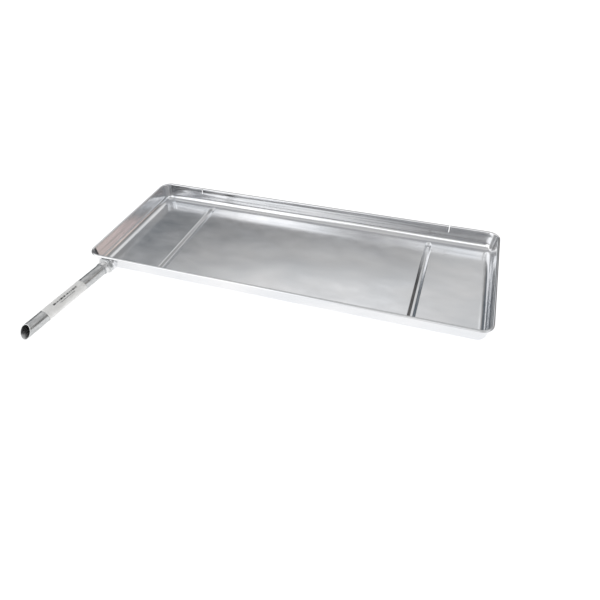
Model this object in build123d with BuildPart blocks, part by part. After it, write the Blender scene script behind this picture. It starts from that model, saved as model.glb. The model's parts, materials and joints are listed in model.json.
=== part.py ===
from build123d import *
import math
import os

# Shallow pressed sheet-metal drain pan with a drain tube fitted through its front wall.
# Frame: X along the pan, right positive; Y from front to back; Z up.
# Origin: on the plane the pan stands on, below the middle of the floor.
# Units: millimetres.

# --- the pan ----------------------------------------------------------------------
pan_length = 660.0          # over the curled rim, along X
pan_width = 266.0           # over the curled rim, along Y
pan_depth = 30.0            # from the floor's upper face to the top of the rim
sheet = 1.0                 # thickness of the pressed sheet
wall_lean = 10.0            # degrees that the walls lean outwards
cove_radius = 12.0          # inside radius between floor and wall
floor_corner_radius = 1.0   # plan radius of the flat floor's corners
curl_diameter = 5.0         # outside diameter of the curled rim
curl_end_angle = -110.0     # where the curl stops, measured from straight outwards

# --- beads pressed down across the floor; the pan stands on them ---------------------
bead_station = 213.0        # from the middle of the pan to the middle of a bead
bead_depth = 3.0
bead_width = 12.5           # across its top, between the sharp corners
bead_flat = 3.5             # flat strip along its bottom
bead_bend_radius = 1.5      # on the inside of each bend in its section
bead_end_radius = 25.0      # the bottom of the bead rises on this radius at each end
bead_end_lead = 11.0        # the rise starts this far before the cove
bead_end_sweep = 45.0       # degrees of that rise, enough to leave the sheet
bead_shoulder = 3.0         # flat strip beside the bead that its tools touch
bead_tool_height = 1.0      # that the inside tool stands above the floor

# --- slits down through the back rim ---------------------------------------------------
slit_station = 243.0
slit_width = 1.6
slit_drop = 12.0            # below the top of the rim

# --- the drain, square to its own axis, which is turned a little to the left ------------
drain_station = -294.5      # X where the axis leaves the pocket's outer face
drain_turn = 5.7            # degrees from straight forwards, towards the left end
pocket_setback = 3.0        # from the rim's outermost line in to the pocket's outer face
pocket_edge_radius = 1.0    # inside radius round the bottom of the pocket
pocket_clearance = 0.1      # radial, between the spigot's flange and that edge radius
pocket_floor_gap = 0.2      # between the pocket's lowest line and the floor's upper face
pocket_reach = 36.0         # that the pocket's tool comes in from its outer face, past the cove

tube_diameter = 19.05
tube_wall = 1.0
tube_length = 179.5         # along the axis, from the pocket's outer face to the middle of the slant cut
cut_angle = 54.0            # between that cut, which faces up, and the axis
sleeve_wall = 1.3           # of the spigot's threaded sleeve, round the tube
sleeve_length = 9.0         # threaded sleeve outside the pocket
nose_wall = 1.0             # of the plain nose beyond the thread
nose_length = 6.0
hole_clearance = 0.2        # radial, between sleeve and pan
flange_rim = 0.8            # radial, of the flange beyond the sleeve
flange_thickness = 1.5
gasket_thickness = 1.0
washer_rim = 1.0            # radial, of the washer beyond the sleeve
washer_thickness = 1.0
washer_clearance = 0.2      # radial, between sleeve and washer
nut_wall = 1.1              # between the thread and a flat
nut_thickness = 6.0
nut_chamfer_angle = 30.0    # degrees, of the cone that takes off the hexagon's corners
nut_face_inset = 0.3        # the cone starts this far inside the flats
solder_length = 2.5         # along the tube
solder_share = 0.75         # of the nose's wall that the fillet covers

label_start = 62.0          # along the axis, from the pocket's outer face
label_length = 80.0
label_thickness = 0.2

# --- sizes that follow --------------------------------------------------------------------
lean = math.radians(wall_lean)
curl_radius = curl_diameter / 2
tube_radius = tube_diameter / 2
floor_top = bead_depth + sheet
rim_top = floor_top + pan_depth
curl_height = rim_top - curl_radius
# Sections are drawn outwards from the axis of a corner, so these are plan radii there.
cove_centre_out = floor_corner_radius
cove_centre_up = floor_top + cove_radius
wall_out = cove_centre_out + cove_radius / math.cos(lean)
curl_centre_out = (
    wall_out
    + (curl_height - cove_centre_up) * math.tan(lean)
    + curl_radius / math.cos(lean)
)
corner_radius = curl_centre_out + curl_radius
corner_x = pan_length / 2 - corner_radius
corner_y = pan_width / 2 - corner_radius
cove_start = corner_y + floor_corner_radius
# The drain's pieces are all sized from its sleeve, and its axis stands just clear of the floor.
sleeve_radius = tube_radius + sleeve_wall
nose_radius = tube_radius + nose_wall
nose_end = sleeve_length + nose_length
flange_radius = sleeve_radius + flange_rim
pocket_radius = flange_radius + pocket_clearance + pocket_edge_radius
washer_radius = sleeve_radius + washer_rim
nut_flats = 2 * (sleeve_radius + nut_wall)
gasket_face = -sheet - gasket_thickness
flange_face = gasket_face - flange_thickness
drain_height = floor_top + pocket_floor_gap + pocket_radius


def turned(out, up, radius, degrees):
    """Point on a circle round (out, up), in a section's own outward and upward directions."""
    angle = math.radians(degrees)
    return (out + radius * math.cos(angle), up + radius * math.sin(angle))


def corner_plane(turn):
    """Section plane at a corner: x points outwards, y up, and the side lies along its normal."""
    outward = Vector(1, 0, 0).rotate(Axis.Z, turn)
    sign_x = 1 if turn in (0, 270) else -1
    sign_y = 1 if turn in (0, 90) else -1
    centre = Vector(sign_x * corner_x, sign_y * corner_y, 0)
    return Plane(origin=centre, x_dir=outward, z_dir=outward.cross(Vector(0, 0, 1)))


def side_length(turn):
    """Straight length of the side that ends at the corner with this turn."""
    return 2 * corner_y if turn in (0, 180) else 2 * corner_x


def tray_section(skin):
    """Half section of the tray's volume: skin 0 for its inside, one sheet for its outside."""
    floor = floor_top - skin
    cove = cove_radius + skin
    wall_foot = turned(cove_centre_out, cove_centre_up, cove, -wall_lean)
    cove_middle = turned(cove_centre_out, cove_centre_up, cove, -(90 + wall_lean) / 2)
    wall_top = turned(curl_centre_out, curl_height, curl_radius - skin, 180 - wall_lean)
    wall_brim = turned(curl_centre_out, curl_height, curl_radius, 180 - wall_lean)
    with BuildLine() as outline:
        Line((0, floor), (cove_centre_out, floor))
        ThreePointArc((cove_centre_out, floor), cove_middle, wall_foot)
        Line(wall_foot, wall_top)
        if skin:
            Line(wall_top, wall_brim)
        Line(wall_brim, (0, wall_brim[1]))
        Line((0, wall_brim[1]), (0, floor))
    make_face(outline.edges())


def curl_section():
    """Section of the curled rim: the wall's sheet rolled over outwards into an open C."""
    inner_radius = curl_radius - sheet
    start = 180 - wall_lean
    middle = (start + curl_end_angle) / 2
    outside = [turned(curl_centre_out, curl_height, curl_radius, a) for a in (start, middle, curl_end_angle)]
    inside = [turned(curl_centre_out, curl_height, inner_radius, a) for a in (start, middle, curl_end_angle)]
    with BuildLine() as outline:
        ThreePointArc(*outside)
        Line(outside[2], inside[2])
        ThreePointArc(inside[2], inside[1], inside[0])
        Line(inside[0], outside[0])
    make_face(outline.edges())


def bead_section(skin):
    """Section of a bead, x across it and y up: skin 0 for its inside, one sheet for its outside."""
    half_run = (bead_width - bead_flat) / 2
    widening = skin * math.tan(math.atan2(bead_depth, half_run) / 2)
    top = floor_top - skin
    bottom = top - bead_depth
    lid = floor_top if skin else floor_top + bead_tool_height
    half_flat = bead_flat / 2 + widening
    half_top = bead_width / 2 + widening
    brim = half_top + bead_shoulder
    brim_radius = bead_bend_radius + sheet - skin
    flat_radius = bead_bend_radius + skin
    with BuildLine() as outline:
        bend = FilletPolyline(
            (-brim, top),
            (-half_top, top),
            (-half_flat, bottom),
            (half_flat, bottom),
            (half_top, top),
            (brim, top),
            radius=[brim_radius, flat_radius, flat_radius, brim_radius],
        )
        Polyline(bend @ 1, (brim, lid), (-brim, lid), bend @ 0)
    make_face(outline.edges())


# --- tray, made as the solid inside of the sheet and the solid inside of its outer face -----
def build_tray(skin):
    """Volume inside the sheet (skin 0) or inside its outer face (skin of one sheet)."""
    brim_height = curl_height + curl_radius * math.sin(lean)
    floor = floor_top - skin
    half_bead = cove_start - bead_end_lead
    rise_centre_up = floor_top - bead_depth + bead_end_radius
    with BuildPart() as tray:
        with BuildSketch(Plane.XY.offset(floor)):
            Rectangle(2 * corner_x, 2 * corner_y)
        extrude(amount=brim_height - floor)
        for turn in (0, 90, 180, 270):
            plane = corner_plane(turn)
            with BuildSketch(plane) as section:
                tray_section(skin)
            extrude(amount=side_length(turn))
            revolve(section.sketch, axis=Axis(plane.origin, (0, 0, 1)), revolution_arc=90)
        for station in (-bead_station, bead_station):
            for end in (-1, 1):
                plane = Plane(origin=(station, end * half_bead, 0), x_dir=(-end, 0, 0), z_dir=(0, end, 0))
                rise_axis = Axis((station, end * half_bead, rise_centre_up), (end, 0, 0))
                with BuildSketch(plane) as section:
                    bead_section(skin)
                extrude(amount=-half_bead)
                revolve(section.sketch, axis=rise_axis, revolution_arc=bead_end_sweep)
    return tray


tray_outside = build_tray(sheet)
tray_inside = build_tray(0)

# --- drain axis: s runs outwards along it from the pocket's outer face ------------------------
drain_outward = Vector(0, -1, 0).rotate(Axis.Z, -drain_turn)
drain_across = Vector(0, 0, 1).cross(drain_outward)
drain_origin = Vector(drain_station, pocket_setback - pan_width / 2, drain_height)
drain_axis = Axis(drain_origin, drain_outward)
drain_plane = Plane(origin=drain_origin, x_dir=drain_across, z_dir=drain_outward)
turning_plane = Plane(origin=drain_origin, x_dir=drain_across, z_dir=(0, 0, -1))



def pocket_section(skin):
    """Half section of the pocket pressed into the wall, radius across and s upwards."""
    face = skin - sheet
    radius = pocket_radius + skin
    with BuildLine() as outline:
        edge = FilletPolyline(
            (0, face), (radius, face), (radius, -pocket_reach), radius=pocket_edge_radius + skin
        )
        Polyline(edge @ 1, (0, -pocket_reach), edge @ 0)
    make_face(outline.edges())


# --- pan body ----------------------------------------------------------------------------
with BuildPart() as pan_body:
    add(tray_outside.part)
    with BuildSketch(turning_plane):
        pocket_section(sheet)
    revolve(axis=drain_axis)
    add(tray_inside.part, mode=Mode.SUBTRACT)
    with BuildSketch(turning_plane):
        pocket_section(0)
    revolve(axis=drain_axis, mode=Mode.SUBTRACT)
    with BuildSketch(drain_plane):
        Circle(sleeve_radius + hole_clearance)
    extrude(amount=-2 * sheet, mode=Mode.SUBTRACT)
    for turn in (0, 90, 180, 270):
        plane = corner_plane(turn)
        with BuildSketch(plane) as section:
            curl_section()
        extrude(amount=side_length(turn))
        revolve(section.sketch, axis=Axis(plane.origin, (0, 0, 1)), revolution_arc=90)
    slit_reach = curl_diameter + slit_drop * math.tan(lean) + 2 * sheet
    with BuildSketch(Plane.XY.offset(rim_top - slit_drop)):
        with Locations((-slit_station, pan_width / 2), (slit_station, pan_width / 2)):
            Rectangle(slit_width, 2 * slit_reach)
    extrude(amount=2 * slit_drop, mode=Mode.SUBTRACT)
pan_body.part.label = "pan_body"

# --- sealing gasket, inside the pocket under the spigot's flange -----------------------------
with BuildPart() as sealing_gasket:
    with BuildSketch(drain_plane.offset(-sheet)):
        Circle(flange_radius)
        Circle(sleeve_radius, mode=Mode.SUBTRACT)
    extrude(amount=-gasket_thickness)
sealing_gasket.part.label = "sealing_gasket"

# --- drain spigot: flange inside the pan, threaded sleeve through the wall, plain nose -----------
with BuildPart() as drain_spigot:
    with BuildSketch(turning_plane):
        with BuildLine():
            Polyline(
                (tube_radius, flange_face),
                (flange_radius, flange_face),
                (flange_radius, gasket_face),
                (sleeve_radius, gasket_face),
                (sleeve_radius, sleeve_length),
                (nose_radius, sleeve_length),
                (nose_radius, nose_end),
                (tube_radius, nose_end),
                close=True,
            )
        make_face()
    revolve(axis=drain_axis)
drain_spigot.part.label = "drain_spigot"

# --- outer washer, between the pocket's outer face and the nut --------------------------------
with BuildPart() as outer_washer:
    with BuildSketch(drain_plane):
        Circle(washer_radius)
        Circle(sleeve_radius + washer_clearance, mode=Mode.SUBTRACT)
    extrude(amount=washer_thickness)
outer_washer.part.label = "outer_washer"

# --- lock nut, its corners taken off by a cone on both faces ------------------------------------
nut_corner_radius = nut_flats / math.sqrt(3)
nut_face_radius = nut_flats / 2 - nut_face_inset
nut_end = washer_thickness + nut_thickness
nut_cone_run = (nut_corner_radius - nut_face_radius) * math.tan(math.radians(nut_chamfer_angle))
with BuildPart() as lock_nut:
    with BuildSketch(drain_plane.offset(washer_thickness)):
        RegularPolygon(nut_flats / 2, 6, major_radius=False)
        Circle(sleeve_radius, mode=Mode.SUBTRACT)
    extrude(amount=nut_thickness)
    with BuildSketch(turning_plane):
        with BuildLine():
            Polyline(
                (0, washer_thickness),
                (nut_face_radius, washer_thickness),
                (nut_corner_radius, washer_thickness + nut_cone_run),
                (nut_corner_radius, nut_end - nut_cone_run),
                (nut_face_radius, nut_end),
                (0, nut_end),
                close=True,
            )
        make_face()
    revolve(axis=drain_axis, mode=Mode.INTERSECT)
lock_nut.part.label = "lock_nut"

# --- drain tube: straight, its end cut at a slant that faces up ------------------------------------
cut_half_length = tube_radius / math.tan(math.radians(cut_angle))
with BuildPart() as drain_tube:
    with BuildSketch(drain_plane.offset(flange_face)):
        Circle(tube_radius)
        Circle(tube_radius - tube_wall, mode=Mode.SUBTRACT)
    extrude(amount=tube_length + 2 * cut_half_length - flange_face)
    cut_plane = Plane(
        origin=drain_origin + drain_outward * tube_length,
        x_dir=drain_across,
        z_dir=drain_outward.rotate(Axis((0, 0, 0), drain_across), cut_angle - 90),
    )
    split(bisect_by=cut_plane, keep=Keep.BOTTOM)
drain_tube.part.label = "drain_tube"

# --- solder fillet, closing the joint between the spigot's nose and the tube ----------------------
solder_foot = tube_radius + solder_share * nose_wall
with BuildPart() as solder_fillet:
    with BuildSketch(turning_plane):
        with BuildLine():
            Line((tube_radius, nose_end), (solder_foot, nose_end))
            RadiusArc((solder_foot, nose_end), (tube_radius, nose_end + solder_length), 2 * solder_length)
            Line((tube_radius, nose_end + solder_length), (tube_radius, nose_end))
        make_face()
    revolve(axis=drain_axis)
solder_fillet.part.label = "solder_fillet"

# --- tube label, wrapped once round the tube ----------------------------------------------------
with BuildPart() as tube_label:
    with BuildSketch(drain_plane.offset(label_start)):
        Circle(tube_radius + label_thickness)
        Circle(tube_radius, mode=Mode.SUBTRACT)
    extrude(amount=label_length)
tube_label.part.label = "tube_label"

# --- files ------------------------------------------------------------------------------------
os.makedirs("parts", exist_ok=True)
for piece in (
    pan_body,
    sealing_gasket,
    drain_spigot,
    outer_washer,
    lock_nut,
    drain_tube,
    solder_fillet,
    tube_label,
):
    export_step(piece.part, f"parts/{piece.part.label}.step")
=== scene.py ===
# %% [markdown]
# # A shallow drain pan, pressed from sheet aluminium
#
# The pan is one sheet of bright aluminium, pressed into a long tray with a curled rim.
# A short tube leaves it through the front wall, so that what collects in it can run away.
# The pieces that have to be exact (the tray, the tube, the nut) come from the CAD model.
# Blender gives them their finish, and adds the small things that a thread-cutting die and
# a pair of hands leave behind: a thread, and a paper label wound round the tube.

# %% Load the model
import json
import math

import bpy
from mathutils import Matrix, Vector


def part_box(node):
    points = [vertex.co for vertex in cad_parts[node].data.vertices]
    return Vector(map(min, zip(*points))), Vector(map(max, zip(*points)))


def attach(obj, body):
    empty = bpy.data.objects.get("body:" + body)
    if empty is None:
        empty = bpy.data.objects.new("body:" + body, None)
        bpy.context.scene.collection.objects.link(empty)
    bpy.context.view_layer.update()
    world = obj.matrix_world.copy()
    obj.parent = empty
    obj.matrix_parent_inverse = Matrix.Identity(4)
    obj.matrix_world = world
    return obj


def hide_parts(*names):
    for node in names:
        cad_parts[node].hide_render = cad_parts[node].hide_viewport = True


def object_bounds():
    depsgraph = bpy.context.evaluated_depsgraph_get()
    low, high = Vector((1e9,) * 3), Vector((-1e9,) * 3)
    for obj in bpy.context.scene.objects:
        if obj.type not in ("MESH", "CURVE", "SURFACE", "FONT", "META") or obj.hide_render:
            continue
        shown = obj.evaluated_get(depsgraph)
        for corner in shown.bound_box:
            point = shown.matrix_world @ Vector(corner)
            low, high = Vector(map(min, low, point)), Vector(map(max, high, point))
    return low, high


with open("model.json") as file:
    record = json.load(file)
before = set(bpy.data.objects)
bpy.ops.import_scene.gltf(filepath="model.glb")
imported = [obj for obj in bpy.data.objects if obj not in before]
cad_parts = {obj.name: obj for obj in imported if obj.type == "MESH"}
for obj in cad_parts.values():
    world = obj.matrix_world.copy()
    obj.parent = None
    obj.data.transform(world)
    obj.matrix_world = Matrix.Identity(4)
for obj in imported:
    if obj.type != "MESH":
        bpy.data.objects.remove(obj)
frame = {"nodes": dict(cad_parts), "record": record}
nodes = frame["nodes"]
cad_low, cad_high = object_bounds()
print("pieces from the CAD model:", ", ".join(sorted(nodes)))
print("size in millimetres:", [round(1000 * s) for s in cad_high - cad_low])

# %% [markdown]
# ## Directions that the drain's pieces share
#
# Blender works in metres here, so a millimetre is a thousandth. The drain leaves the front
# wall level, turned a little to the left. Its mount in the record gives that direction, and
# a point on its axis. The line starts where it meets the flat bottom of the drain's pocket,
# set back a little from the rim, and every small piece is placed by a distance along it.

# %% The drain's own directions
MM = 0.001
pocket_setback = 3 * MM
mounts = {mount["name"]: mount for mount in frame["record"]["mounts"]}
outward = Vector(mounts["tube_bore"]["axis"]).normalized()
upward = Vector((0, 0, 1))
across = upward.cross(outward)
drain_turn = math.atan2(-outward.x, -outward.y)
tube_radius = mounts["hose_end"]["dims"]["r_mm"] * MM
pan_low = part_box("pan_body")[0]
pocket_y = pan_low.y + pocket_setback
axis_point = Vector(mounts["tube_bore"]["pos_m"])
drain_origin = axis_point - outward * (axis_point.y - pocket_y) / outward.y
to_drain = Matrix.Translation(drain_origin) @ Matrix((across, upward, outward)).transposed().to_4x4()
print("the drain leaves at", [round(v / MM, 1) for v in drain_origin], "mm")
print("and turns", round(math.degrees(drain_turn), 1), "degrees to the left")

# %% [markdown]
# ## Helpers for materials
#
# Colours are written as hex values, the way a paint chart gives them, and turned to the linear
# numbers that Blender's shaders want. One function adds a node, sets it and wires it, so that
# a material reads as a short list of steps.

# %% Colour and node helpers
def hex_colour(code):
    """Linear RGBA of an sRGB hex colour such as "#C8C9CB"."""
    parts = [int(code[i : i + 2], 16) / 255 for i in (1, 3, 5)]
    return tuple(p / 12.92 if p <= 0.04045 else ((p + 0.055) / 1.055) ** 2.4 for p in parts) + (1.0,)


def add(tree, kind, settings=None, inputs=None):
    """Adds a node; settings are its own properties, inputs are values or sockets to link from."""
    node = tree.nodes.new(kind)
    for name, value in (settings or {}).items():
        setattr(node, name, value)
    for name, value in (inputs or {}).items():
        if isinstance(value, bpy.types.NodeSocket):
            tree.links.new(value, node.inputs[name])
        else:
            node.inputs[name].default_value = value
    return node


def new_material(name, metallic, roughness):
    """An empty material, its node tree, and its shader wired to the output."""
    made = bpy.data.materials.new(name)
    made.use_nodes = True
    tree = made.node_tree
    tree.nodes.clear()
    shader = add(tree, "ShaderNodeBsdfPrincipled", {}, {"Metallic": metallic, "Roughness": roughness})
    add(tree, "ShaderNodeOutputMaterial", {}, {"Surface": shader.outputs["BSDF"]})
    return made, tree, shader


print("helpers ready; mid grey is", [round(v, 3) for v in hex_colour("#808080")[:3]])

# %% [markdown]
# ## Grain, and how it is aimed
#
# Nearly every surface here is noise of some size: round for hand marks and stains, stretched
# for rolled, drawn or turned metal. The size is given in millimetres along each axis, because
# that is how one would measure it on the real thing. On the drain's pieces the noise is turned
# with the drain, so that its streaks run along the tube.

# %% Noise sized in millimetres
def grain(tree, size_mm, detail=2.0, rough=0.5, on_drain=False):
    """Noise whose cells have this size along X, Y and Z, or across, along and up on the drain."""
    where = add(tree, "ShaderNodeTexCoord")
    turn = (0, 0, -drain_turn) if on_drain else (0, 0, 0)
    centre = drain_origin if on_drain else (0, 0, 0)
    placed = add(
        tree,
        "ShaderNodeMapping",
        {"vector_type": "TEXTURE"},
        {
            "Vector": where.outputs["Object"],
            "Location": centre,
            "Rotation": turn,
            "Scale": [size * MM for size in size_mm],
        },
    )
    noise = add(
        tree,
        "ShaderNodeTexNoise",
        {"noise_dimensions": "3D"},
        {"Vector": placed.outputs["Vector"], "Scale": 1.0, "Detail": detail, "Roughness": rough},
    )
    return noise.outputs["Fac"]


print("noise is sized in millimetres of", MM, "m")

# %% [markdown]
# ## Mixing a finish
#
# A finish is three things: a colour, a roughness and a relief. Each is noise that has been
# spread between two values, or two colours, that suit the metal. The last helper gives the
# finished material to CAD pieces, whose meshes stay as they came.

# %% Spread, blend and dress
def spread(tree, source, low, high, start=0.3, end=0.7):
    """Maps start..end of a source to low..high."""
    return add(
        tree,
        "ShaderNodeMapRange",
        {"clamp": True},
        {"Value": source, "From Min": start, "From Max": end, "To Min": low, "To Max": high},
    ).outputs["Result"]


def plus(tree, first, second):
    """Adds two values."""
    return add(tree, "ShaderNodeMath", {"operation": "ADD"}, {0: first, 1: second}).outputs[0]


def times(tree, first, second):
    """Multiplies two values."""
    return add(tree, "ShaderNodeMath", {"operation": "MULTIPLY"}, {0: first, 1: second}).outputs[0]


def blend(tree, share, first, second):
    """Mixes two colours, each a hex code, a linear colour or a socket."""
    first, second = (hex_colour(c) if isinstance(c, str) else c for c in (first, second))
    return add(tree, "ShaderNodeMix", {"data_type": "RGBA"}, {0: share, 6: first, 7: second}).outputs[2]


def relief(tree, height, depth_mm, under=None):
    """A bump of this depth, laid over another one if given."""
    inputs = {"Height": height, "Strength": 1.0, "Distance": depth_mm * MM}
    if under:
        inputs["Normal"] = under
    return add(tree, "ShaderNodeBump", {}, inputs).outputs["Normal"]


def finish(tree, shader, colour, roughness, normal):
    """Wires the three parts of a finish into its shader."""
    tree.links.new(colour, shader.inputs["Base Color"])
    tree.links.new(roughness, shader.inputs["Roughness"])
    tree.links.new(normal, shader.inputs["Normal"])


def dress(material, *names):
    """Gives CAD nodes this material."""
    for name in names:
        nodes[name].data.materials.clear()
        nodes[name].data.materials.append(material)
    print(material.name, "on", ", ".join(names))


print("a finish is a colour, a roughness and a relief, for", len(nodes), "CAD pieces")

# %% [markdown]
# ## The pan's metal: mill-finish aluminium sheet
#
# Mill finish is the sheet as it leaves the rolls: bright, a little blurred, with very fine
# straight lines along the way it was rolled. Real roll lines are a few hundredths of a
# millimetre apart, far too fine to see from a metre away, so they are drawn half a millimetre
# wide and faint. Wider, rounder noise stands for where rags have dulled the shine, and a soft
# bump for the way a large thin floor is never quite flat. Pressing leaves draw marks, long
# shallow ridges that run along every wall: noise that is very long along X and Y and short
# along Z gives them to the walls, and leaves the level floor alone. The walls have also slid
# over the press's polished edge, so the metal gets smoother from the floor up to the rim.
# Thin scratches lie mostly lengthwise.

# %% Mill-finish sheet
def mill_finish_sheet():
    """Rolled and pressed aluminium sheet, with walls polished by the press."""
    made, tree, shader = new_material("mill_finish_aluminium_sheet", 1.0, 0.25)
    lines = grain(tree, (80, 0.5, 0.5))
    mottle = grain(tree, (26, 14, 14), detail=4.0, rough=0.6)
    clouds = grain(tree, (120, 70, 70), detail=2.0)
    scratches = grain(tree, (45, 0.35, 3), detail=1.0)
    waves = grain(tree, (110, 75, 75), detail=1.0, rough=0.4)
    draw_marks = grain(tree, (240, 240, 8), detail=1.0)
    place = add(tree, "ShaderNodeTexCoord").outputs["Object"]
    height = add(tree, "ShaderNodeSeparateXYZ", {}, {"Vector": place}).outputs["Z"]
    polished = spread(tree, height, 0.0, -0.07, 8 * MM, 30 * MM)
    dulled = plus(tree, spread(tree, lines, 0.15, 0.17), spread(tree, mottle, -0.02, 0.05))
    roughness = plus(tree, dulled, polished)
    colour = blend(tree, spread(tree, clouds, 0.0, 1.0), "#EAEAEB", "#DEE0E3")
    scratched = blend(tree, spread(tree, scratches, 0.0, 0.3, 0.72, 0.80), colour, "#F2F2F2")
    buckle = relief(tree, waves, 0.55)
    drawn = relief(tree, draw_marks, 0.65, buckle)
    rolled = relief(tree, lines, 0.003, drawn)
    finish(tree, shader, scratched, roughness, rolled)
    return made


dress(mill_finish_sheet(), "pan_body")

# %% [markdown]
# ## The tube's metal: drawn aluminium
#
# A drawn tube is pulled through a die, which leaves long straight streaks all round it, a few
# hundredths of a millimetre apart. They are drawn 0.6 mm apart here, so that they show. The
# tube is duller than the sheet, and grey stains as long as a fingertip sit on it.

# %% Drawn tube
def drawn_tube():
    """Drawn aluminium, streaked along the tube."""
    made, tree, shader = new_material("drawn_aluminium_tube", 1.0, 0.3)
    streaks = grain(tree, (0.6, 40, 0.6), detail=2.0, on_drain=True)
    stains = grain(tree, (5, 14, 5), detail=4.0, rough=0.65, on_drain=True)
    specks = grain(tree, (1.2, 2.5, 1.2), detail=2.0, on_drain=True)
    colour = blend(tree, spread(tree, stains, 0.0, 1.0), "#D9DADA", "#A9ABAC")
    roughness = plus(tree, spread(tree, streaks, 0.2, 0.32), spread(tree, specks, 0.0, 0.08))
    dented = relief(tree, specks, 0.03)
    finish(tree, shader, colour, roughness, relief(tree, streaks, 0.015, dented))
    return made


dress(drawn_tube(), "drain_tube")

# %% [markdown]
# ## Turned, machined and stamped fittings
#
# The spigot and the nut are cut on a lathe, and the tool leaves rings about a tenth of a
# millimetre apart, drawn three to five times as wide here so that they show. Stretching the
# noise the other way, thin along the axis and wide round it, gives those rings. The washer is
# stamped from plain sheet and keeps a flatter shine.

# %% Turned fittings
def turned_metal(name, bright, dark, ring_mm, smooth, dull):
    """Aluminium cut on a lathe, with rings round the drain's axis."""
    made, tree, shader = new_material(name, 1.0, smooth)
    rings = grain(tree, (30, ring_mm, 30), detail=1.0, on_drain=True)
    smears = grain(tree, (4, 3, 4), detail=3.0, on_drain=True)
    colour = blend(tree, spread(tree, smears, 0.0, 1.0), bright, dark)
    roughness = plus(tree, spread(tree, rings, smooth, dull), spread(tree, smears, 0.0, 0.06))
    finish(tree, shader, colour, roughness, relief(tree, rings, 0.02))
    return made


spigot_metal = turned_metal("turned_aluminium_spigot", "#ECECEC", "#D2D3D4", 0.35, 0.16, 0.26)
dress(spigot_metal, "drain_spigot")
dress(turned_metal("machined_aluminium_nut", "#DFE0E0", "#B4B6B7", 0.5, 0.2, 0.32), "lock_nut")
dress(turned_metal("stamped_aluminium_washer", "#E4E4E4", "#C9CACB", 2.5, 0.24, 0.34), "outer_washer")

# %% [markdown]
# ## Solder and rubber
#
# Solder sets with a soft, slightly grainy skin, duller and greyer than what it joins. The
# gasket is black nitrile rubber: not metallic, quite rough, with a dusting of grey where it
# has been squeezed. Rubber's index of refraction is close to 1.52.

# %% Solder and gasket
def set_solder():
    """Solder as it cooled: grey, grainy, with small lumps."""
    made, tree, shader = new_material("tin_solder_as_set", 1.0, 0.4)
    lumps = grain(tree, (1.6, 1.2, 1.6), detail=2.0, on_drain=True)
    skin = grain(tree, (0.5, 0.5, 0.5), detail=2.0, on_drain=True)
    colour = blend(tree, spread(tree, skin, 0.0, 1.0), "#C6C7C8", "#9DA0A2")
    roughness = spread(tree, skin, 0.34, 0.5)
    finish(tree, shader, colour, roughness, relief(tree, lumps, 0.25))
    return made


def nitrile_rubber():
    """Black moulded rubber, dusty where it is squeezed."""
    made, tree, shader = new_material("nitrile_rubber", 0.0, 0.7)
    shader.inputs["IOR"].default_value = 1.52
    dust = grain(tree, (2, 2, 2), detail=4.0, rough=0.6, on_drain=True)
    colour = blend(tree, spread(tree, dust, 0.0, 1.0, 0.5, 0.8), "#1B1B1C", "#3A3A3A")
    roughness = spread(tree, dust, 0.62, 0.8)
    finish(tree, shader, colour, roughness, relief(tree, dust, 0.03))
    return made


dress(set_solder(), "solder_fillet")
dress(nitrile_rubber(), "sealing_gasket")

# %% [markdown]
# ## The thread on the spigot
#
# The nut doesn't reach the end of the threaded sleeve, so a turn or two of thread shows. A
# thread is a small ridge that follows a helix: a rule with three numbers, which is exactly
# what Geometry Nodes are for. The tree draws a spiral, runs a small profile along it, and
# dresses it in the spigot's metal. Its inputs are named, so that another pitch is one number
# away.

# %% Thread tree
def thread_tree(material):
    """Geometry Nodes: a ridge that winds along the drain's axis."""
    tree = bpy.data.node_groups.new("sleeve_thread_tree", "GeometryNodeTree")
    tree.interface.new_socket("Geometry", in_out="INPUT", socket_type="NodeSocketGeometry")
    for name, value in (("Radius", 0.01), ("Pitch", 0.001), ("Turns", 2.0), ("Ridge", 0.0003)):
        socket = tree.interface.new_socket(name, in_out="INPUT", socket_type="NodeSocketFloat")
        socket.default_value = value
    tree.interface.new_socket("Geometry", in_out="OUTPUT", socket_type="NodeSocketGeometry")
    given = add(tree, "NodeGroupInput").outputs
    length = add(tree, "ShaderNodeMath", {"operation": "MULTIPLY"}, {0: given["Pitch"], 1: given["Turns"]})
    helix = add(
        tree,
        "GeometryNodeCurveSpiral",
        {},
        {
            "Resolution": 72,
            "Rotations": given["Turns"],
            "Start Radius": given["Radius"],
            "End Radius": given["Radius"],
            "Height": length.outputs[0],
        },
    )
    profile = add(tree, "GeometryNodeCurvePrimitiveCircle", {}, {"Resolution": 6, "Radius": given["Ridge"]})
    ridge = add(
        tree,
        "GeometryNodeCurveToMesh",
        {},
        {"Curve": helix.outputs[0], "Profile Curve": profile.outputs[0], "Fill Caps": True},
    )
    real = add(tree, "GeometryNodeRealizeInstances", {}, {"Geometry": ridge.outputs[0]})
    dressed = add(tree, "GeometryNodeSetMaterial", {}, {"Geometry": real.outputs[0], "Material": material})
    add(tree, "NodeGroupOutput", {}, {"Geometry": dressed.outputs[0]})
    return tree


print("thread tree ready, with Radius, Pitch, Turns and Ridge as its inputs")

# %% [markdown]
# ## From a tree to a plain mesh
#
# A modifier has to be run before its result can be moved about as a mesh. An empty holder
# carries it for a moment: its inputs are set by their identifiers, it is evaluated once, the
# result is copied out, and the holder goes. The piece's place is put into its points, so that
# its object stays at the origin like every CAD piece.

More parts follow.
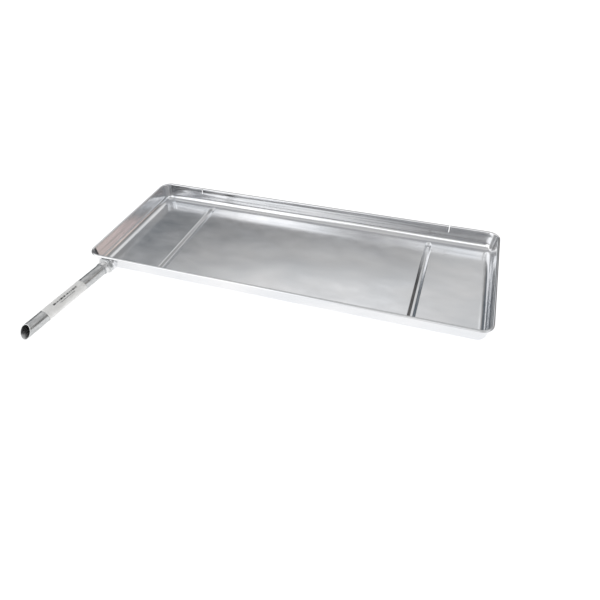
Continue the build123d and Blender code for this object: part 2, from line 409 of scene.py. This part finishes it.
# %% Run a tree
def run_tree(name, tree, values, place):
    """Runs a tree with these inputs, and returns its result as a plain mesh piece, moved to place."""
    seed_mesh = bpy.data.meshes.new(name + "_seed")
    holder = bpy.data.objects.new(name + "_holder", seed_mesh)
    bpy.context.scene.collection.objects.link(holder)
    modifier = holder.modifiers.new("tree", "NODES")
    modifier.node_group = tree
    for item in tree.interface.items_tree:
        if item.item_type == "SOCKET" and item.in_out == "INPUT" and item.name in values:
            modifier[item.identifier] = values[item.name]
    evaluated = holder.evaluated_get(bpy.context.evaluated_depsgraph_get())
    mesh = bpy.data.meshes.new_from_object(evaluated)
    bpy.data.objects.remove(holder)
    mesh.name = name
    mesh.transform(place)
    piece = bpy.data.objects.new(name, mesh)
    bpy.context.scene.collection.objects.link(piece)
    return piece


print("a tree's result becomes a plain mesh at the origin")

# %% [markdown]
# ## Two turns of thread
#
# The sleeve's wall is 1.3 mm, and two millimetres of it show past the nut. Two turns at a
# pitch of 0.8 mm fill that length. The ridge is sunk a little into the sleeve, so that no gap
# can open under it, and it starts a little past the nut, as a real thread comes out of one.

# %% Thread on the sleeve
nut_end = 7 * MM
sleeve_end = 9 * MM
sleeve_radius = tube_radius + 1.3 * MM
thread_pitch = 0.8 * MM
thread_sunk = 0.05 * MM
thread_run_in = 0.3 * MM
ridge_radius = 0.28 * MM
thread = run_tree(
    "sleeve_thread",
    thread_tree(spigot_metal),
    {"Radius": sleeve_radius - thread_sunk, "Pitch": thread_pitch, "Turns": 2.0, "Ridge": ridge_radius},
    to_drain @ Matrix.Translation((0, 0, nut_end + thread_run_in)),
)
for face in thread.data.polygons:
    face.use_smooth = True
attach(thread, "root")
print("thread:", len(thread.data.polygons), "faces")
print("sleeve that shows:", round((sleeve_end - nut_end) / MM, 1), "mm")

# %% [markdown]
# ## The label: a paper strip wound round the tube
#
# The label is a strip of paper glued to itself, wound a little more than once round the tube.
# A CAD ring can't show where one end lies on the other, so this one is laid as a sheet of
# points: the winding creeps outwards by the paper's own thickness, and the last few
# millimetres lift where the glue has let go. Solidify then gives the paper its thickness.

# %% Wind the label
label_start = 62 * MM
label_length = 80 * MM
paper = 0.1 * MM
glue = 0.09 * MM
inner_edge = math.radians(-118)
winding = math.radians(388)
climb_at = math.radians(350)
climb_over = math.radians(12)
overlap_rise = 1.2 * paper
loose_share = 0.045
loose_lift = 0.45 * MM
ripple_angle, ripple_start = 9.0, 0.7
askew = 0.5 * MM


def paper_radius(along, share):
    """How far from the axis the paper lies, at these shares of its length and of its winding."""
    over = min(1.0, max(0.0, (winding * share - climb_at) / climb_over))
    lift = max(0.0, share - (1 - loose_share)) / loose_share
    uneven = 0.5 + 0.5 * math.sin(ripple_angle * along + ripple_start)
    return tube_radius + glue + over * overlap_rise + loose_lift * uneven * lift * lift


def paper_point(along, share):
    """Where that point of the strip is."""
    angle, radius = inner_edge + winding * share, paper_radius(along, share)
    station = label_start + label_length * along + askew * (share - 0.5)
    circle = across * (radius * math.cos(angle)) + upward * (radius * math.sin(angle))
    return drain_origin + outward * station + circle


print("the strip is", round(winding * tube_radius / MM), "mm long round the tube")

# %% [markdown]
# ## The strip as a mesh
#
# A grid of points, one row for each step along the tube, is enough for a strip. Each point
# also gets its place on the flat paper as a UV coordinate, from 0 to 1 along and round, so
# that the print can be laid out flat later. The faces must look away from the tube before
# Solidify thickens them outwards, so one of them is tested, and all are turned if it is wrong.

# %% Lay the strip
def wound_label(steps_along=40, steps_round=120):
    """A strip wound round the tube, its outer end lying over its inner one and lifting a little."""
    places = [
        (i / steps_along, j / steps_round) for i in range(steps_along + 1) for j in range(steps_round + 1)
    ]
    row = steps_round + 1
    faces = []
    for i in range(steps_along):
        for j in range(steps_round):
            corner = i * row + j
            faces.append((corner, corner + 1, corner + row + 1, corner + row))
    mesh = bpy.data.meshes.new("wound_label")
    mesh.from_pydata([paper_point(along, share) for along, share in places], [], faces)
    layer = mesh.uv_layers.new(name="paper")
    for loop in mesh.loops:
        layer.data[loop.index].uv = places[loop.vertex_index]
    for face in mesh.polygons:
        face.use_smooth = True
    piece = bpy.data.objects.new("wound_label", mesh)
    bpy.context.scene.collection.objects.link(piece)
    return piece


label = wound_label()
facing = label.data.polygons[0]
middle = facing.center - drain_origin
radial = middle - outward * middle.dot(outward)
if facing.normal.dot(radial) < 0:
    label.data.flip_normals()
thickness = label.modifiers.new("paper", "SOLIDIFY")
thickness.thickness = paper
thickness.offset = 1.0
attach(label, "root")
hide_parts("tube_label")
print("label:", len(label.data.polygons), "faces, paper", paper / MM, "mm thick")

# %% [markdown]
# ## Paper and print
#
# The paper is smooth and matt white. What is printed on it is left generic: one dark line of
# blocks in place of a name, and a fainter line of smaller blocks under it. Both are read from
# the strip's own flat coordinates, along it and round it, so that they bend with the paper.
# The blocks' edges come from noise that changes only along the line.

# %% A line of print
def inside(tree, value, low, high, soft=0.004):
    """1 between low and high, softly 0 outside."""
    rise = spread(tree, value, 0.0, 1.0, low - soft, low + soft)
    fall = spread(tree, value, 1.0, 0.0, high - soft, high + soft)
    return times(tree, rise, fall)


def line_of_print(tree, flat, middle, half_height, start, end, per_length, gap, soft_gap=0.02):
    """Blocks along one line of the flat paper, cut up by noise that changes only along it."""
    along = times(tree, flat["X"], per_length)
    placed = add(tree, "ShaderNodeCombineXYZ", {}, {"X": along, "Y": 10 * middle}).outputs[0]
    cut = add(
        tree,
        "ShaderNodeTexNoise",
        {"noise_dimensions": "2D"},
        {"Vector": placed, "Scale": 1.0, "Detail": 0.0},
    ).outputs["Fac"]
    blocks = spread(tree, cut, 0.0, 1.0, gap - soft_gap, gap + soft_gap)
    band = inside(tree, flat["Y"], middle - half_height, middle + half_height)
    return times(tree, times(tree, band, inside(tree, flat["X"], start, end)), blocks)


print("print is placed by shares of the label's length and winding")

# %% [markdown]
# ## The label's paper
#
# Coated label paper is not metallic, about half rough, and has an index of refraction near
# 1.5. Its fibres are 0.4 mm apart here, coarser than real ones, so that they show at all. Wide
# grey stains stand for handling. The title is nearly black ink, the small line under it grey.

# %% Printed paper
def printed_paper():
    """White coated paper with two generic lines of print."""
    made, tree, shader = new_material("coated_white_paper", 0.0, 0.5)
    shader.inputs["IOR"].default_value = 1.5
    sheet = add(tree, "ShaderNodeUVMap", {"uv_map": "paper"}).outputs["UV"]
    flat = add(tree, "ShaderNodeSeparateXYZ", {}, {"Vector": sheet}).outputs
    fibres = grain(tree, (0.4, 0.4, 0.4), detail=3.0, on_drain=True)
    stains = grain(tree, (9, 16, 9), detail=3.0, on_drain=True)
    paper_colour = blend(tree, spread(tree, stains, 0.0, 1.0), "#F6F6F5", "#E6E6E4")
    title = line_of_print(
        tree, flat, middle=0.475, half_height=0.020, start=0.17, end=0.78, per_length=70, gap=0.40
    )
    small = line_of_print(
        tree, flat, middle=0.415, half_height=0.010, start=0.25, end=0.66, per_length=90, gap=0.48
    )
    inked = blend(tree, title, paper_colour, "#2E2F31")
    inked = blend(tree, small, inked, "#77797B")
    roughness = spread(tree, fibres, 0.42, 0.58)
    finish(tree, shader, inked, roughness, relief(tree, fibres, 0.01))
    return made


label.data.materials.append(printed_paper())
print("label printed")

# %% [markdown]
# ## The floor
#
# Bright metal looks like whatever stands round it, so the room matters as much as the metal.
# The floor is a wide sheet of white acrylic, lit through from below, as a product table is.
# Most of its brightness is its own light, which keeps it clean and white right up to the pan
# and fills the outer walls, and the rest is grey enough to take a faint shadow. It lies a
# fifth of a millimetre under the pan's feet, so that the two never share a face.

# %% White table
table_reach = 40.0
table_glow = 0.88
table_level = cad_low.z - 0.2 * MM


def white_table():
    """A wide white sheet under the pan, softly lit through."""
    mesh = bpy.data.meshes.new("white_table")
    signs = ((-1, -1), (1, -1), (1, 1), (-1, 1))
    corners = [(table_reach * x, table_reach * y, table_level) for x, y in signs]
    mesh.from_pydata(corners, [], [(0, 1, 2, 3)])
    table = bpy.data.objects.new("white_table", mesh)
    bpy.context.scene.collection.objects.link(table)
    made, tree, shader = new_material("lit_white_acrylic", 0.0, 0.9)
    shader.inputs["Emission Color"].default_value = hex_colour("#FFFFFF")
    shader.inputs["Emission Strength"].default_value = table_glow
    shader.inputs["Specular IOR Level"].default_value = 0.0
    speckle = grain(tree, (40, 40, 40), detail=1.0)
    tint = blend(tree, spread(tree, speckle, 0.0, 1.0), "#A4A4A4", "#A0A0A1")
    tree.links.new(tint, shader.inputs["Base Color"])
    mesh.materials.append(made)
    return table


white_table()
print("table", round(2 * table_reach), "m wide")

# %% [markdown]
# ## The light
#
# The light is a soft white dome. A lamp would only give a hard spot on bright metal, while a
# dome gives it something to reflect everywhere. Three small helpers make one: brightness by
# height, a soft round patch in one direction, and a grey with a little warmth or coolness.

# %% Dome helpers
def dome_ramp(tree, height, stops):
    """Brightness by the height of the direction looked in."""
    ramp = add(tree, "ShaderNodeValToRGB", {}, {"Fac": height})
    ramp.color_ramp.interpolation = "LINEAR"
    while len(ramp.color_ramp.elements) < len(stops):
        ramp.color_ramp.elements.new(0.5)
    for element, (place, level) in zip(ramp.color_ramp.elements, stops):
        element.position = place
        element.color = (level, level, level, 1)
    return ramp.outputs["Color"]


def patch(tree, direction, heading, elevation, near, far):
    """1 within near degrees of a direction, falling to 0 at far degrees."""
    turn, rise = math.radians(heading), math.radians(elevation)
    aim = (-math.sin(turn) * math.cos(rise), math.cos(turn) * math.cos(rise), math.sin(rise))
    product = add(tree, "ShaderNodeVectorMath", {"operation": "DOT_PRODUCT"}, {0: direction, 1: aim})
    return add(
        tree,
        "ShaderNodeMapRange",
        {"interpolation_type": "SMOOTHSTEP"},
        {
            "Value": product.outputs["Value"],
            "From Min": math.cos(math.radians(far)),
            "From Max": math.cos(math.radians(near)),
        },
    ).outputs["Result"]


def tone(level, warmth=0.0):
    """A light level, warmed by a share of red over blue."""
    return (level * (1 + warmth), level, level * (1 - warmth), 1.0)


print("a warm grey at half brightness:", tone(0.5, 0.1)[:3])

# %% [markdown]
# ## What the pan reflects
#
# Metal needs contrast round it: without something dark to reflect it turns into flat grey
# plastic. Each half of the dome is a list of steps, from the horizon (0) to straight up (1).
# The back half is what the floor reflects, dark below and bright above, so that the floor is
# darker at its far edge. The front half has one narrow bright band, which draws the thin
# highlight along the cove. Patches are then laid over both, each given by a heading (degrees
# to the left of straight back), an elevation, and the angles where it starts and ends to fade.

# %% Sky and patches
back_sky = (
    (0.0, 0.30), (0.15, 0.14), (0.42, 0.16), (0.53, 0.28),
    (0.58, 0.44), (0.64, 1.10), (0.70, 0.95), (1.0, 0.6),
)
front_sky = (
    (0.0, 0.70), (0.12, 0.38), (0.36, 0.46), (0.50, 0.85),
    (0.58, 1.8), (0.67, 1.6), (0.74, 0.42), (1.0, 0.6),
)
sky_patches = (
    (44, 18, 6, 21, tone(0.16, -0.12)),  # cool and dark, for the floor's left end
    (-52, 17, 6, 18, tone(0.50, 0.08)),  # a warm wall on the right, for the left wall
    (-30, 14, 8, 16, tone(0.07)),  # nearly black, for the beads' left sides
    (-48, 15, 1, 7, hex_colour("#FCE6E1")),  # small, bright and pinkish, for streaks on the left wall
    (-36, 46, 4, 16, tone(0.26)),  # dark, for the floor beside the left wall
    (-24, 41, 3, 10, tone(0.40)),  # dim, for the left cove
    (-139, 18, 6, 30, tone(0.35)),  # dim, for the back end of the left wall
    (143, 14, 6, 36, tone(1.5)),  # bright, for the back wall's left half
    (150, 51, 2, 9, tone(1.8)),  # bright, for the band under the back cove on the left
    (-177, 51, 2, 9, tone(1.5)),  # bright, for the same band on the right
    (-8, 40, 2, 12, tone(0.74)),  # dimmer, for the floor's right end
)
print(len(sky_patches), "patches on a dome of", len(back_sky), "and", len(front_sky), "steps")

# %% [markdown]
# ## The dome itself
#
# The two halves are mixed by how far back a direction points, and each patch is mixed over
# what came before it, so their order counts. The camera itself sees plain white beyond the
# table: only what reflects and what is lit meets the patches.

# %% Studio dome
def studio_dome():
    """The world: a soft dome, its two halves, and its patches."""
    world = bpy.data.worlds.new("studio_dome")
    bpy.context.scene.world = world
    world.use_nodes = True
    tree = world.node_tree
    tree.nodes.clear()
    direction = add(tree, "ShaderNodeTexCoord").outputs["Generated"]
    parts = add(tree, "ShaderNodeSeparateXYZ", {}, {"Vector": direction}).outputs
    back = dome_ramp(tree, parts["Z"], back_sky)
    front = dome_ramp(tree, parts["Z"], front_sky)
    side = spread(tree, parts["Y"], 0.0, 1.0, -0.25, 0.25)
    sky = blend(tree, side, front, back)
    for heading, elevation, near, far, colour in sky_patches:
        share = patch(tree, direction, heading, elevation, near, far)
        sky = blend(tree, share, sky, colour)
    lit = add(tree, "ShaderNodeBackground", {}, {"Color": sky, "Strength": 1.0})
    plain = add(tree, "ShaderNodeBackground", {}, {"Color": hex_colour("#FFFFFF"), "Strength": 1.0})
    seen = add(tree, "ShaderNodeLightPath").outputs["Is Camera Ray"]
    both = add(tree, "ShaderNodeMixShader", {}, {0: seen, 1: lit.outputs[0], 2: plain.outputs[0]})
    add(tree, "ShaderNodeOutputWorld", {}, {"Surface": both.outputs[0]})


studio_dome()
print("dome with", len(bpy.context.scene.world.node_tree.nodes), "nodes")

# %% [markdown]
# ## The camera
#
# The camera stands in front of the pan and to its right, a little over half a metre up, and
# looks down at forty degrees with a slightly wide lens. It stands close for so long a pan,
# which is why the near right end looks much larger than the far left one. Standard colours
# are kept, so that the white of the table stays white.

# %% Place the camera
camera_data = bpy.data.cameras.new("camera")
camera_data.sensor_width = 36.0
camera_data.lens = 31.0
camera_data.clip_start = 0.01
camera = bpy.data.objects.new("camera", camera_data)
bpy.context.scene.collection.objects.link(camera)
eye = Vector((0.24247, -0.69676, 0.52986))
heading, pitch, roll = math.radians(18.92), math.radians(40.23), math.radians(-1.16)
level_ahead = Vector((-math.sin(heading), math.cos(heading), 0))
ahead = level_ahead * math.cos(pitch) - upward * math.sin(pitch)
level_right = ahead.cross(upward).normalized()
level_up = level_right.cross(ahead)
camera_right = level_right * math.cos(roll) + level_up * math.sin(roll)
camera_up = camera_right.cross(ahead)
turned = Matrix((camera_right, camera_up, -ahead)).transposed()
camera.matrix_world = Matrix.Translation(eye) @ turned.to_4x4()
bpy.context.scene.camera = camera
bpy.context.scene.view_settings.view_transform = "Standard"
print("camera", round((eye - (cad_low + cad_high) / 2).length, 2), "m from the pan's middle")
